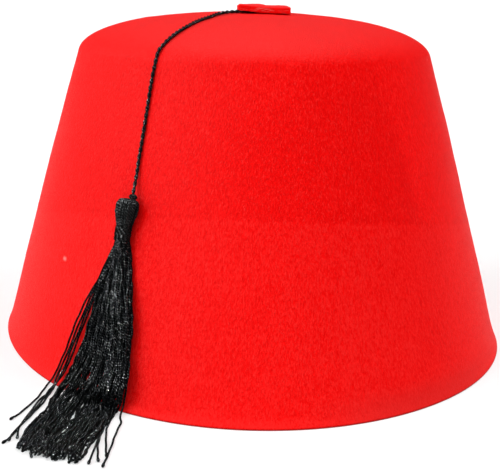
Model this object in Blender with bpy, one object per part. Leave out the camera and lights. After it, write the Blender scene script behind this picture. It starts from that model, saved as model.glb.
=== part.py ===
"""Felt fez with a thread tassel, standing on its rim.

Metres, +Z up. The origin is the middle of the rim on the surface that the hat
stands on; +Y is the long axis of the head oval and +X the short one. Angles
round the hat, called azimuths, are measured from -Y towards -X.
"""
import math

import bmesh
import bpy
from mathutils import Vector

# ---------------------------------------------------------------- dimensions
BASE_R = 0.0925          # mean outer radius of the wall's straight line at the rim
BASE_OVAL = 0.0449       # the rim is longer by this share along Y, narrower along X
BASE_SQUARE = -0.0006    # four-cornered part of the rim's outline
BASE_SQUARE_AT = 22.0    # where it is greatest, degrees from +X
TOP_R = 0.0589           # mean outer radius where wall and top would meet
TOP_OVAL = -0.0102       # the top is a little wider than long
CORNER_H = 0.10635       # height where wall and top would meet
CORNER_RUN_WALL = 0.0068 # how far the rounded top edge reaches down the wall
CORNER_RUN_TOP = 0.0202  # and how far it reaches in over the top
DOME_RISE = 0.0069       # rise of the top from there to its middle
RIM_FLARE = 0.0009       # the pressed rim stands out by this much
FLARE_RUN = 0.0035       # height over which the flare fades
WALL_BULGE = 0.00027     # the wall stands out by this much at half its height
LEAN_X = -0.0032         # sideways lean, metres for each metre of height
WALL = 0.0022            # felt thickness
GAP = 0.0003             # clearance between pieces

SIDES = 72               # facets round the crown
CORNER_ROWS = 9
DOME_ROWS = 6

PATCH_AT = (0.0013, -0.0046)  # middle of the felt patch, in plan
PATCH_W = 0.0176              # its width
PATCH_D = 0.0170              # its depth, front to back
PATCH_TURN = -11.0            # direction of its front edge, degrees from +X
PATCH_T = 0.0020              # its thickness
PATCH_POWER = 7.0             # squareness of its outline

CORD_D = 0.0012          # twisted cord, outer diameter
CORD_STEP = 0.0028       # spacing of the route's points

KNOT_D = 0.0026          # knot at the end of the cord, width
KNOT_L = 0.0019          # and length
KNOT_Z = 0.0624          # height of its upper end, measured on the wall
KNOT_AZ = 42.5           # azimuth at which it hangs

# Cord on the top: plan positions, from its end under the patch outwards.
CORD_PLAN = [
    # x, y
    (-0.0030, -0.0096),
    (-0.0060, -0.0112),
    (-0.0096, -0.0127),
    (-0.0130, -0.0144),
    (-0.0165, -0.0168),
]
# Then straight to the edge: distance from the middle and azimuth.
CORD_TOP = [
    # r,     azimuth
    (0.0280, 44.6),
    (0.0340, 44.4),
    (0.0400, 44.0),
]
# Over the rounded edge: share of the way in from the wall, azimuth.
CORD_EDGE = [
    # t,   azimuth
    (0.75, 43.2),
    (0.55, 43.0),
    (0.35, 43.0),
    (0.15, 43.1),
]
# Down the wall: height, azimuth, extra distance from the wall.
CORD_WALL = [
    # z,     azimuth, off
    (0.0940, 43.2, 0.0),
    (0.0850, 43.0, 0.0),
    (0.0770, 42.7, 0.0),
    (0.0705, 42.5, 0.0001),
    (0.0665, 42.5, 0.0004),
]

# Tassel head: distance down the wall from its top, half width, half depth.
HEAD_ROWS = [
    # down,   half_width, half_depth
    (0.0000, 0.0013, 0.0010),
    (0.0003, 0.0024, 0.0019),
    (0.0010, 0.0031, 0.0026),
    (0.0021, 0.0035, 0.0029),
    (0.0034, 0.0035, 0.0030),
    (0.0048, 0.0033, 0.0029),
    (0.0062, 0.0030, 0.0026),
    (0.0076, 0.0025, 0.0022),
]
HEAD_Z = 0.0600          # height of the head's top, measured on the wall
HEAD_AZ = 42.7           # azimuth at which it hangs

# Winding round the neck: distance down, half width, half depth.
BINDING_ROWS = [
    # down,   half_width, half_depth
    (0.0000, 0.0023, 0.0020),
    (0.0009, 0.0026, 0.0022),
    (0.0024, 0.0027, 0.0022),
    (0.0038, 0.0026, 0.0022),
    (0.0046, 0.0024, 0.0021),
]
BINDING_Z = 0.0524       # height of the winding's top, measured on the wall
BINDING_AZ = 43.1        # azimuth at which it hangs

# Loose threads on the wall: height, azimuth of left and right edge, thickness.
SKIRT_WALL_ROWS = [
    # z,      left, right, thick
    (0.0476, 45.0, 41.4, 0.0040),
    (0.0440, 46.1, 40.4, 0.0043),
    (0.0395, 47.3, 39.6, 0.0043),
    (0.0340, 48.9, 38.7, 0.0041),
    (0.0280, 50.2, 37.9, 0.0038),
    (0.0220, 51.6, 37.2, 0.0035),
    (0.0160, 53.0, 36.8, 0.0033),
    (0.0105, 54.2, 36.8, 0.0031),
    (0.0060, 55.2, 36.8, 0.0030),
]
# Loose threads on the surface: left and right edge, thickness.
SKIRT_FLOOR_ROWS = [
    # left x,  left y,   right x,  right y, thick
    (-0.0812, -0.0566, -0.0572, -0.0788, 0.0040),
    (-0.0832, -0.0640, -0.0598, -0.0842, 0.0036),
    (-0.0848, -0.0720, -0.0621, -0.0903, 0.0034),
    (-0.0866, -0.0800, -0.0642, -0.0975, 0.0033),
    (-0.0880, -0.0880, -0.0657, -0.1030, 0.0031),
    (-0.0878, -0.0920, -0.0665, -0.1062, 0.0026),
]
SKIRT_ACROSS = 9         # points across the skirt's width

# ------------------------------------------------------------------- helpers


def clear_scene():
    for thing in list(bpy.data.objects):
        bpy.data.objects.remove(thing, do_unlink=True)


def material(name, color, roughness):
    mat = bpy.data.materials.new(name)
    mat.use_nodes = True
    shader = mat.node_tree.nodes["Principled BSDF"]
    shader.inputs["Base Color"].default_value = (*color, 1.0)
    shader.inputs["Roughness"].default_value = roughness
    shader.inputs["Metallic"].default_value = 0.0
    return mat


def add_object(name, bm, mat, smooth_deg=40.0):
    bmesh.ops.recalc_face_normals(bm, faces=bm.faces[:])
    mesh = bpy.data.meshes.new(name)
    bm.to_mesh(mesh)
    bm.free()
    mesh.shade_smooth()
    mesh.set_sharp_from_angle(angle=math.radians(smooth_deg))
    mesh.materials.append(mat)
    obj = bpy.data.objects.new(name, mesh)
    bpy.context.scene.collection.objects.link(obj)
    return obj


def loft(bm, rings, cap_first=True, cap_last=True):
    """Skin closed rings of equal length, in order, with end caps."""
    rows = [[bm.verts.new(p) for p in ring] for ring in rings]
    n = len(rows[0])
    for a, b in zip(rows, rows[1:]):
        for i in range(n):
            j = (i + 1) % n
            bm.faces.new((a[i], a[j], b[j], b[i]))
    if cap_first:
        bm.faces.new(list(reversed(rows[0])))
    if cap_last:
        bm.faces.new(rows[-1])
    return rows


def smooth_route(points, step):
    """Points a step apart along a Catmull-Rom curve through the given ones."""
    pts = [Vector(p) for p in points]
    pts = [2 * pts[0] - pts[1]] + pts + [2 * pts[-1] - pts[-2]]
    dense = []
    for a, b, c, d in zip(pts, pts[1:], pts[2:], pts[3:]):
        for k in range(24):
            t = k / 24
            dense.append(
                0.5 * (2 * b + (c - a) * t + (2 * a - 5 * b + 4 * c - d) * t * t
                       + (3 * b - a - 3 * c + d) * t ** 3))
    dense.append(pts[-2])
    total = sum((q - p).length for p, q in zip(dense, dense[1:]))
    count = max(2, round(total / step))
    out, want, run = [dense[0]], total / count, 0.0
    for p, q in zip(dense, dense[1:]):
        seg = (q - p).length
        while len(out) < count and run + seg >= want * len(out):
            out.append(p.lerp(q, (want * len(out) - run) / seg))
        run += seg
    out.append(dense[-1])
    return out


# -------------------------------------------------------------- crown's form


def wall_r(z):
    """Mean outer radius of the wall at height z."""
    line = BASE_R + (TOP_R - BASE_R) * z / CORNER_H
    t = min(z / (CORNER_H - CORNER_RUN_WALL), 1.0)
    return line + RIM_FLARE * math.exp(-z / FLARE_RUN) + WALL_BULGE * 4 * t * (1 - t)


def dome_z(r):
    return CORNER_H + DOME_RISE * (1 - (r / TOP_R) ** 2)


def corner_ends():
    """Where the rounded top edge begins on the wall and ends on the top."""
    down = Vector((BASE_R - TOP_R, -CORNER_H)).normalized()
    low = Vector((TOP_R, CORNER_H)) + down * CORNER_RUN_WALL
    r = TOP_R - CORNER_RUN_TOP
    return low, Vector((r, dome_z(r)))


def outer_profile():
    """(radius, height) from the rim up the wall and over to the middle."""
    low, high = corner_ends()
    apex = Vector((TOP_R, CORNER_H))
    rows = [Vector((wall_r(z), z)) for z in
            (0.0, 0.0012, 0.0026, 0.0048, 0.009, 0.018, 0.030, 0.044, 0.058, 0.072, 0.086)]
    for k in range(CORNER_ROWS + 1):
        t = k / CORNER_ROWS
        rows.append(low * (1 - t) ** 2 + apex * 2 * t * (1 - t) + high * t * t)
    for k in range(1, DOME_ROWS):
        r = high.x * (1 - k / DOME_ROWS)
        rows.append(Vector((r, dome_z(r))))
    return rows


def inset_profile(rows, depth):
    """The same profile moved inwards by the felt's thickness."""
    out = []
    for i, p in enumerate(rows):
        a, b = rows[max(i - 1, 0)], rows[min(i + 1, len(rows) - 1)]
        if i == 0:
            out.append(Vector((p.x - depth * 1.05, 0.0)))
            continue
        run = (b - a).normalized()
        out.append(Vector((p.x - run.y * depth, p.y + run.x * depth)))
    return out


def place(r, z, angle):
    """Point of the crown for a profile radius and height, angle from +X."""
    t = min(max(z / CORNER_H, 0.0), 1.0)
    oval = (1 - t) * BASE_OVAL + t * TOP_OVAL
    radius = r * (1 - oval * math.cos(2 * angle))
    square = (1 - t) * BASE_SQUARE * math.cos(4 * (angle - math.radians(BASE_SQUARE_AT)))
    radius += square * min(1.0, r / TOP_R)
    return Vector((radius * math.cos(angle) + LEAN_X * z, radius * math.sin(angle), z))


def az_angle(az):
    return math.radians(-90.0 - az)


def wall_point(z, az):
    return place(wall_r(z), z, az_angle(az))


def wall_frame(z, az):
    """Point on the wall, outward normal, direction down the wall, side."""
    p = wall_point(z, az)
    across = wall_point(z, az - 0.5) - wall_point(z, az + 0.5)
    down = (wall_point(z - 0.001, az) - wall_point(z + 0.001, az)).normalized()
    normal = down.cross(across).normalized()
    if normal.dot(Vector((p.x, p.y, 0.0))) < 0:
        normal = -normal
    side = normal.cross(down).normalized()
    return p, normal, down, side


def corner_point(t):
    """Point of the rounded top edge's profile, and the profile's direction."""
    low, high = corner_ends()
    apex = Vector((TOP_R, CORNER_H))
    p = low * (1 - t) ** 2 + apex * 2 * t * (1 - t) + high * t * t
    return p, ((apex - low) * (1 - t) + (high - apex) * t).normalized()


def profile_z(r):
    """Height of the top over a profile radius, rounded edge included."""
    if r <= TOP_R - CORNER_RUN_TOP:
        return dome_z(r)
    t0, t1 = 0.0, 1.0
    for _ in range(30):
        t = (t0 + t1) / 2
        if corner_point(t)[0].x > r:
            t0 = t
        else:
            t1 = t
    return corner_point((t0 + t1) / 2)[0].y


def top_height(x, y):
    """Height of the crown's top surface over a plan position."""
    z = CORNER_H + DOME_RISE
    for _ in range(4):
        px = x - LEAN_X * z
        angle = math.atan2(y, px)
        r = math.hypot(px, y) / (1 - TOP_OVAL * math.cos(2 * angle))
        z = profile_z(r)
    return z


def ring_on_crown(r, z):
    return [place(r, z, 2 * math.pi * i / SIDES) for i in range(SIDES)]


# -------------------------------------------------------------------- pieces


def make_crown(mat):
    bm = bmesh.new()
    outer = outer_profile()
    inner = inset_profile(outer, WALL)
    pole_out = place(0.0, CORNER_H + DOME_RISE, 0.0)
    pole_in = place(0.0, CORNER_H + DOME_RISE - WALL, 0.0)
    out_rows = [[bm.verts.new(p) for p in ring_on_crown(r.x, r.y)] for r in outer]
    in_rows = [[bm.verts.new(p) for p in ring_on_crown(r.x, r.y)] for r in inner]
    for rows, pole in ((out_rows, pole_out), (in_rows, pole_in)):
        for a, b in zip(rows, rows[1:]):
            for i in range(SIDES):
                j = (i + 1) % SIDES
                bm.faces.new((a[i], a[j], b[j], b[i]))
        tip = bm.verts.new(pole)
        for i in range(SIDES):
            bm.faces.new((rows[-1][i], rows[-1][(i + 1) % SIDES], tip))
    for i in range(SIDES):
        j = (i + 1) % SIDES
        bm.faces.new((out_rows[0][j], out_rows[0][i], in_rows[0][i], in_rows[0][j]))
    return add_object("crown", bm, mat)


def cord_route():
    """Centre line of the cord, from its end under the patch to the knot."""
    lift = GAP + CORD_D / 2
    pts = [Vector((x, y, top_height(x, y) + lift)) for x, y in CORD_PLAN]
    for r, az in CORD_TOP:
        angle = az_angle(az)
        x, y = r * math.cos(angle), r * math.sin(angle)
        pts.append(Vector((x, y, top_height(x, y) + lift)))
    # over the rounded edge, out from the surface by the same lift
    for t, az in CORD_EDGE:
        p, run = corner_point(t)
        q = Vector((p.x + run.y * lift, p.y - run.x * lift))
        pts.append(place(q.x, q.y, az_angle(az)))
    for z, az, off in CORD_WALL:
        p, normal, _, _ = wall_frame(z, az)
        pts.append(p + normal * (lift + off))
    p, normal, down, _ = wall_frame(KNOT_Z, KNOT_AZ)
    pts.append(p + normal * (GAP + KNOT_D / 2) - down * (GAP + 0.0001))
    return smooth_route(pts, CORD_STEP)


def make_cord(mat):
    curve = bpy.data.curves.new("cord", "CURVE")
    curve.dimensions = "3D"
    curve.bevel_depth = CORD_D / 2
    curve.bevel_resolution = 2
    curve.use_fill_caps = True
    route = cord_route()
    spline = curve.splines.new("POLY")
    spline.points.add(len(route) - 1)
    for point, p in zip(spline.points, route):
        point.co = (*p, 1.0)
    spline.use_smooth = True
    curve.materials.append(mat)
    obj = bpy.data.objects.new("cord", curve)
    bpy.context.scene.collection.objects.link(obj)
    return obj


def lift_over_cord(x, y, route):
    """How far the patch is raised over the cord that runs in under it."""
    d = min(math.hypot(x - p.x, y - p.y) for p in route)
    return (CORD_D + GAP) * math.exp(-(max(d - CORD_D / 2, 0.0) / 0.0032) ** 2)


def make_patch(mat):
    bm = bmesh.new()
    route = [p for p in cord_route() if math.hypot(p.x, p.y) < 0.024]
    dense = []
    for a, b in zip(route, route[1:]):
        dense += [a.lerp(b, k / 6) for k in range(6)]
    cx, cy = PATCH_AT
    turn = math.radians(PATCH_TURN)

    def outline(angle, share):
        c, s = math.cos(angle), math.sin(angle)
        x = math.copysign(abs(c) ** (2 / PATCH_POWER), c) * PATCH_W / 2 * share
        y = math.copysign(abs(s) ** (2 / PATCH_POWER), s) * PATCH_D / 2 * share
        return cx + x * math.cos(turn) - y * math.sin(turn), cy + x * math.sin(turn) + y * math.cos(turn)

    around = 44
    rows = {}
    for side, extra in (("under", 0.0), ("over", PATCH_T)):
        rings = []
        for share in (1.0, 0.86, 0.70, 0.52, 0.34, 0.16):
            ring = []
            for i in range(around):
                x, y = outline(2 * math.pi * i / around, share)
                z = top_height(x, y) + GAP + lift_over_cord(x, y, dense) + extra
                ring.append(bm.verts.new((x, y, z)))
            rings.append(ring)
        for a, b in zip(rings, rings[1:]):
            for i in range(around):
                j = (i + 1) % around
                bm.faces.new((a[i], a[j], b[j], b[i]))
        z = top_height(cx, cy) + GAP + lift_over_cord(cx, cy, dense) + extra
        tip = bm.verts.new((cx, cy, z))
        for i in range(around):
            bm.faces.new((rings[-1][i], rings[-1][(i + 1) % around], tip))
        rows[side] = rings[0]
    for i in range(around):
        j = (i + 1) % around
        bm.faces.new((rows["under"][i], rows["under"][j], rows["over"][j], rows["over"][i]))
    return add_object("top_patch", bm, mat)


def round_rings(z, az, rows, around):
    """Rings of a round piece lying on the wall, its axis down the wall."""
    p, normal, down, side = wall_frame(z, az)
    rings = []
    for along, half_w, half_d in rows:
        centre = p + down * along + normal * (GAP + max(r[2] for r in rows))
        rings.append([centre + side * half_w * math.cos(2 * math.pi * i / around)
                      + normal * half_d * math.sin(2 * math.pi * i / around)
                      for i in range(around)])
    return rings


def make_round(name, z, az, rows, mat, around=16):
    bm = bmesh.new()
    loft(bm, round_rings(z, az, rows, around))
    return add_object(name, bm, mat, 50.0)


def make_knot(mat):
    half = KNOT_D / 2
    rows = [(KNOT_L * k, half * w, half * w) for k, w in
            ((0.0, 0.55), (0.2, 0.88), (0.5, 1.0), (0.8, 0.88), (1.0, 0.55))]
    return make_round("cord_knot", KNOT_Z, KNOT_AZ, rows, mat, 12)


def skirt_ring(inner, outward, thick):
    """Closed ring: along the under side, then back along the crowned upper side."""
    n = len(inner)
    ring = list(inner)
    for i in reversed(range(n)):
        u = 2 * i / (n - 1) - 1
        ring.append(inner[i] + outward[i] * thick * (0.22 + 0.78 * math.sqrt(max(0.0, 1 - u * u))))
    return ring


def make_skirt(mat):
    bm = bmesh.new()
    rings = []
    n = SKIRT_ACROSS
    for z, left, right, thick in SKIRT_WALL_ROWS:
        inner, outward = [], []
        for i in range(n):
            az = left + (right - left) * i / (n - 1)
            p, normal, _, _ = wall_frame(z, az)
            inner.append(p + normal * (GAP + 0.0001))
            outward.append(normal)
        rings.append(skirt_ring(inner, outward, thick))
    for lx, ly, rx, ry, thick in SKIRT_FLOOR_ROWS:
        inner, outward = [], []
        for i in range(n):
            t = i / (n - 1)
            p = Vector((lx, ly, GAP)).lerp(Vector((rx, ry, GAP)), t)
            # the rows bow outwards with the rim
            bow = 0.0035 * 4 * t * (1 - t)
            p += Vector((p.x, p.y, 0.0)).normalized() * bow
            inner.append(p)
            outward.append(Vector((0.0, 0.0, 1.0)))
        rings.append(skirt_ring(inner, outward, thick))
    loft(bm, rings)
    return add_object("tassel_skirt", bm, mat, 60.0)


def main():
    clear_scene()
    felt = material("red_felt", (0.80, 0.012, 0.010), 0.95)
    patch = material("red_felt_patch", (0.72, 0.010, 0.010), 0.95)
    cord = material("black_cord", (0.012, 0.011, 0.012), 0.50)
    knot = material("black_knot", (0.010, 0.010, 0.011), 0.55)
    head = material("black_thread_head", (0.012, 0.013, 0.014), 0.45)
    binding = material("black_binding", (0.011, 0.012, 0.012), 0.40)
    skirt = material("black_thread", (0.011, 0.012, 0.013), 0.40)
    make_crown(felt)
    make_patch(patch)
    make_cord(cord)
    make_knot(knot)
    make_round("tassel_head", HEAD_Z, HEAD_AZ, HEAD_ROWS, head)
    make_round("tassel_binding", BINDING_Z, BINDING_AZ, BINDING_ROWS, binding)
    make_skirt(skirt)


main()
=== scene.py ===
"""Looks of the felt fez: fine felt body, felt patch, twisted cord and thread tassel.

Metres, +Z up, in the same frame as the solids: the middle of the rim is the
origin, +Y the long axis of the head oval. Azimuths are measured from -Y
towards -X, in degrees.
"""

import math

import bpy
import numpy as np
from mathutils import Matrix, Vector, noise


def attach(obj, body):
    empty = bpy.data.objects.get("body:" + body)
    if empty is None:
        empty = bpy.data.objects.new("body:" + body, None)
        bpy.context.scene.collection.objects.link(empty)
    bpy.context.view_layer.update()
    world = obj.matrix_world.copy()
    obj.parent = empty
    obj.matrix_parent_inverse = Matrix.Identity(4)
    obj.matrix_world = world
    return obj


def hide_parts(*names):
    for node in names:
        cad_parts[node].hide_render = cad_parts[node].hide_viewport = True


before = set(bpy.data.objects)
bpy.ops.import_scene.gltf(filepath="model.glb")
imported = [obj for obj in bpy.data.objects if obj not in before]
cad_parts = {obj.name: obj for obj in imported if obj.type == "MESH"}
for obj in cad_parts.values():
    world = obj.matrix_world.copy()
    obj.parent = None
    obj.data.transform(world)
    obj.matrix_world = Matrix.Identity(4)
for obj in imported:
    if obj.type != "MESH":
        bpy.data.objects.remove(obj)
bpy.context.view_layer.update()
rng = np.random.default_rng(11)

# ------------------------------------------------------------- camera, first

CAM_AT = (-0.0897060, -0.3486443, 0.1271854)
CAM_FORWARD = (0.2396100, 0.9363834, -0.2564627)
CAM_RIGHT = (0.9699895, -0.2421325, 0.0221878)
CAM_UP = (0.0413216, 0.2540826, 0.9662994)
CAM_LENS = 72.23

cam_data = bpy.data.cameras.new("camera")
cam_data.sensor_width = 36.0
cam_data.lens = CAM_LENS
cam_data.clip_start = 0.01
cam_data.clip_end = 60.0
cam = bpy.data.objects.new("camera", cam_data)
bpy.context.scene.collection.objects.link(cam)
cam.matrix_world = Matrix([
    (CAM_RIGHT[i], CAM_UP[i], -CAM_FORWARD[i], CAM_AT[i]) for i in range(3)] + [(0, 0, 0, 1)])
bpy.context.scene.camera = cam

# ------------------------------------------------ the crown's form, as in CAD

BASE_R = 0.0925
BASE_OVAL = 0.0449
BASE_SQUARE = -0.0006
BASE_SQUARE_AT = 22.0
TOP_R = 0.0589
TOP_OVAL = -0.0102
CORNER_H = 0.10635
CORNER_RUN_WALL = 0.0068
CORNER_RUN_TOP = 0.0202
DOME_RISE = 0.0069
RIM_FLARE = 0.0009
FLARE_RUN = 0.0035
WALL_BULGE = 0.00027
LEAN_X = -0.0032
WALL = 0.0022


def wall_r(z):
    z = np.asarray(z, float)
    t = np.clip(z / (CORNER_H - CORNER_RUN_WALL), 0.0, 1.0)
    return (BASE_R + (TOP_R - BASE_R) * z / CORNER_H
            + RIM_FLARE * np.exp(-np.maximum(z, 0.0) / FLARE_RUN) + WALL_BULGE * 4 * t * (1 - t))


def dome_z(r):
    return CORNER_H + DOME_RISE * (1 - (np.asarray(r, float) / TOP_R) ** 2)


CORNER_DOWN = np.array([BASE_R - TOP_R, -CORNER_H]) / math.hypot(BASE_R - TOP_R, CORNER_H)
CORNER_APEX = np.array([TOP_R, CORNER_H])
CORNER_LOW = CORNER_APEX + CORNER_DOWN * CORNER_RUN_WALL
CORNER_HIGH = np.array([TOP_R - CORNER_RUN_TOP, float(dome_z(TOP_R - CORNER_RUN_TOP))])


def corner_point(t):
    t = np.asarray(t, float)[..., None]
    p = CORNER_LOW * (1 - t) ** 2 + CORNER_APEX * 2 * t * (1 - t) + CORNER_HIGH * t * t
    run = (CORNER_APEX - CORNER_LOW) * (1 - t) + (CORNER_HIGH - CORNER_APEX) * t
    return p, run / np.linalg.norm(run, axis=-1, keepdims=True)


def place(r, z, angle):
    r, z, angle = np.broadcast_arrays(np.asarray(r, float), np.asarray(z, float), np.asarray(angle, float))
    t = np.clip(z / CORNER_H, 0.0, 1.0)
    oval = (1 - t) * BASE_OVAL + t * TOP_OVAL
    radius = r * (1 - oval * np.cos(2 * angle))
    square = (1 - t) * BASE_SQUARE * np.cos(4 * (angle - math.radians(BASE_SQUARE_AT)))
    radius = radius + square * np.minimum(1.0, r / TOP_R)
    return np.stack([radius * np.cos(angle) + LEAN_X * z, radius * np.sin(angle), z], axis=-1)


def az_angle(az):
    return np.radians(-90.0 - np.asarray(az, float))


def unit(v):
    return v / np.maximum(np.linalg.norm(v, axis=-1, keepdims=True), 1e-12)


def wall_frame(z, az):
    """Point on the wall, outward normal, direction down the wall, side."""
    z, az = np.broadcast_arrays(np.asarray(z, float), np.asarray(az, float))
    at = lambda zz, aa: place(wall_r(zz), zz, az_angle(aa))
    p = at(z, az)
    down = unit(at(z - 0.001, az) - at(z + 0.001, az))
    normal = unit(np.cross(down, at(z, az - 0.5) - at(z, az + 0.5)))
    flip = np.sign(np.sum(normal * np.concatenate([p[..., :2], np.zeros_like(p[..., 2:])], -1), -1, keepdims=True))
    normal = normal * flip
    return p, normal, down, unit(np.cross(normal, down))


_T = np.linspace(0.0, 1.0, 400)
_CP = corner_point(_T)[0]


def profile_z(r):
    r = np.asarray(r, float)
    return np.where(r <= CORNER_HIGH[0], dome_z(r), np.interp(r, _CP[::-1, 0], _CP[::-1, 1]))


def top_height(x, y):
    x, y = np.asarray(x, float), np.asarray(y, float)
    z = np.full(np.broadcast(x, y).shape, CORNER_H + DOME_RISE)
    for _ in range(4):
        px = x - LEAN_X * z
        r = np.hypot(px, y) / (1 - TOP_OVAL * np.cos(2 * np.arctan2(y, px)))
        z = profile_z(r)
    return z


# ------------------------------------------------------------------- helpers


def smooth(points, step, values=None):
    """Points a step apart along a Catmull-Rom curve through the given ones."""
    pts = np.asarray(points, float)
    pts = np.vstack([2 * pts[0] - pts[1], pts, 2 * pts[-1] - pts[-2]])
    t = np.linspace(0, 1, 40, endpoint=False)[:, None]
    out = []
    for a, b, c, d in zip(pts, pts[1:], pts[2:], pts[3:]):
        out.append(0.5 * (2 * b + (c - a) * t + (2 * a - 5 * b + 4 * c - d) * t ** 2
                          + (3 * b - a - 3 * c + d) * t ** 3))
    dense = np.vstack(out + [pts[-2][None]])
    return even(dense, step)


def even(dense, step):
    run = np.concatenate([[0], np.cumsum(np.linalg.norm(np.diff(dense, axis=0), axis=1))])
    n = max(3, int(round(run[-1] / step)) + 1)
    want = np.linspace(0, run[-1], n)
    return np.stack([np.interp(want, run, dense[:, k]) for k in range(dense.shape[1])], 1)


class Threads:
    """Collects twisted tubes into one mesh."""

    def __init__(self):
        self.verts, self.faces, self.count = [], [], 0
        self.values = {"tone": [], "run": [], "around_c": [], "around_s": []}

    def add(self, path, ref, radius, twist, pitch=0.0020, lobes=2, depth=0.0, sides=8, phase=0.0, tone=0.5,
            knob=0.0):
        """A tube along path; ref is a direction, or one at each point, that never lies along it.

        The material lays two plies round the tube, one turn in each length twist. Its form is
        round, or has lobes of its own that turn once in each length pitch.
        """
        path = np.asarray(path, float)
        n = len(path)
        ref = np.broadcast_to(np.asarray(ref, float), path.shape)
        t = unit(np.gradient(path, axis=0))
        side = unit(np.cross(t, ref))
        up = np.cross(side, t)
        s = np.concatenate([[0], np.cumsum(np.linalg.norm(np.diff(path, axis=0), axis=1))])
        phi = 2 * np.pi * np.arange(sides) / sides
        rad = radius * (1 - depth * (0.5 - 0.5 * np.cos(lobes * phi)))
        turn = (phase + 2 * np.pi * s / pitch) * (depth > 0)
        ang = phi[None, :] + turn[:, None]
        swell = np.ones(n)
        if knob and n > 6:
            swell[-5:-1] = 1.0 + knob * np.array([0.35, 0.8, 1.0, 0.7])
        swell[0], swell[-1] = 0.55, 0.7
        ring = (path[:, None] + (rad[None, :] * swell[:, None])[..., None]
                * (np.cos(ang)[..., None] * side[:, None] + np.sin(ang)[..., None] * up[:, None]))
        base = self.count
        i = np.arange(n - 1)[:, None] * sides
        j = np.arange(sides)[None, :]
        k = (j + 1) % sides
        quads = np.stack([i + j, i + k, i + sides + k, i + sides + j], -1).reshape(-1, 4) + base
        self.verts.append(ring.reshape(-1, 3))
        self.faces.append(quads)
        caps = []
        for first, flip in ((base, True), (base + (n - 1) * sides, False)):
            for a in range(1, sides - 2, 2):
                q = [first, first + a, first + a + 1, first + a + 2]
                caps.append(q[::-1] if flip else q)
        self.faces.append(np.array(caps))
        self.note(tone=np.full(n * sides, tone), run=np.repeat(s / twist + phase, sides),
                  around_c=np.cos(ang).ravel(), around_s=np.sin(ang).ravel())
        self.count += n * sides

    def note(self, **values):
        for key, data in values.items():
            self.values[key].append(data)

    def build(self, name, mat):
        verts = np.vstack(self.verts)
        faces = np.vstack(self.faces)
        return mesh_object(name, verts, faces, mat, {k: np.concatenate(v) for k, v in self.values.items()})


def mesh_object(name, verts, faces, mat, values=None, flat=False):
    mesh = bpy.data.meshes.new(name)
    mesh.from_pydata(np.asarray(verts).tolist(), [], [list(map(int, f)) for f in faces])
    mesh.update()
    if not flat:
        mesh.shade_smooth()
    for key, data in (values or {}).items():
        attr = mesh.attributes.new(key, "FLOAT", "POINT")
        attr.data.foreach_set("value", np.asarray(data, np.float32))
    mesh.materials.append(mat)
    obj = bpy.data.objects.new(name, mesh)
    bpy.context.scene.collection.objects.link(obj)
    return obj


def fbm(points, scale, octaves=3, seed=0.0):
    """Smooth noise at each point, about -1 to 1."""
    out = np.empty(len(points))
    shift = Vector((seed * 17.3, seed * 5.1, seed * 9.7))
    for i, p in enumerate(points):
        v, amp, f = 0.0, 1.0, scale
        for _ in range(octaves):
            v += amp * noise.noise(Vector(p) * f + shift)
            amp *= 0.5
            f *= 2.1
        out[i] = v
    return out


# ----------------------------------------------------------------- materials


class Nodes:
    """Short hand for building a material's node tree."""

    def __init__(self, name):
        self.mat = bpy.data.materials.new(name)
        self.mat.use_nodes = True
        self.tree = self.mat.node_tree
        self.shader = self.tree.nodes["Principled BSDF"]

    def new(self, kind, **settings):
        node = self.tree.nodes.new(kind)
        for key, value in settings.items():
            setattr(node, key, value)
        return node

    def link(self, a, b):
        self.tree.links.new(a, b)

    def put(self, socket, value):
        if hasattr(value, "is_linked") or hasattr(value, "links"):
            self.link(value, socket)
        else:
            socket.default_value = value

    def coords(self, scale=(1.0, 1.0, 1.0)):
        tex = self.new("ShaderNodeTexCoord")
        mapping = self.new("ShaderNodeMapping")
        mapping.inputs["Scale"].default_value = scale
        self.link(tex.outputs["Object"], mapping.inputs["Vector"])
        return mapping.outputs["Vector"]

    def noise(self, vector, scale, detail=3.0, rough=0.6, distortion=0.0):
        node = self.new("ShaderNodeTexNoise")
        node.inputs["Scale"].default_value = scale
        node.inputs["Detail"].default_value = detail
        node.inputs["Roughness"].default_value = rough
        node.inputs["Distortion"].default_value = distortion
        self.link(vector, node.inputs["Vector"])
        return node.outputs["Fac"]

    def math(self, op, a, b=0.0, c=None, clamp=False):
        node = self.new("ShaderNodeMath", operation=op, use_clamp=clamp)
        self.put(node.inputs[0], a)
        self.put(node.inputs[1], b)
        if c is not None:
            self.put(node.inputs[2], c)
        return node.outputs[0]

    def span(self, value, lo, hi, to_lo=0.0, to_hi=1.0, smooth_step=False):
        node = self.new("ShaderNodeMapRange")
        if smooth_step:
            node.interpolation_type = "SMOOTHSTEP"
        self.link(value, node.inputs["Value"])
        for key, v in (("From Min", lo), ("From Max", hi), ("To Min", to_lo), ("To Max", to_hi)):
            self.put(node.inputs[key], v)
        return node.outputs["Result"]

    def mix(self, fac, a, b):
        node = self.new("ShaderNodeMix", data_type="RGBA")
        self.put(node.inputs["Factor"], fac)
        ins = [s for s in node.inputs if s.type == "RGBA"]
        for socket, value in zip(ins, (a, b)):
            if isinstance(value, tuple):
                socket.default_value = (*value, 1.0)
            else:
                self.link(value, socket)
        return [s for s in node.outputs if s.type == "RGBA"][0]

    def bump(self, height, strength, distance, before=None):
        node = self.new("ShaderNodeBump")
        node.inputs["Strength"].default_value = strength
        node.inputs["Distance"].default_value = distance
        self.link(height, node.inputs["Height"])
        if before is not None:
            self.link(before, node.inputs["Normal"])
        return node.outputs["Normal"]

    def axis(self, vector, which):
        node = self.new("ShaderNodeSeparateXYZ")
        self.link(vector, node.inputs[0])
        return node.outputs[which]


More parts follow.
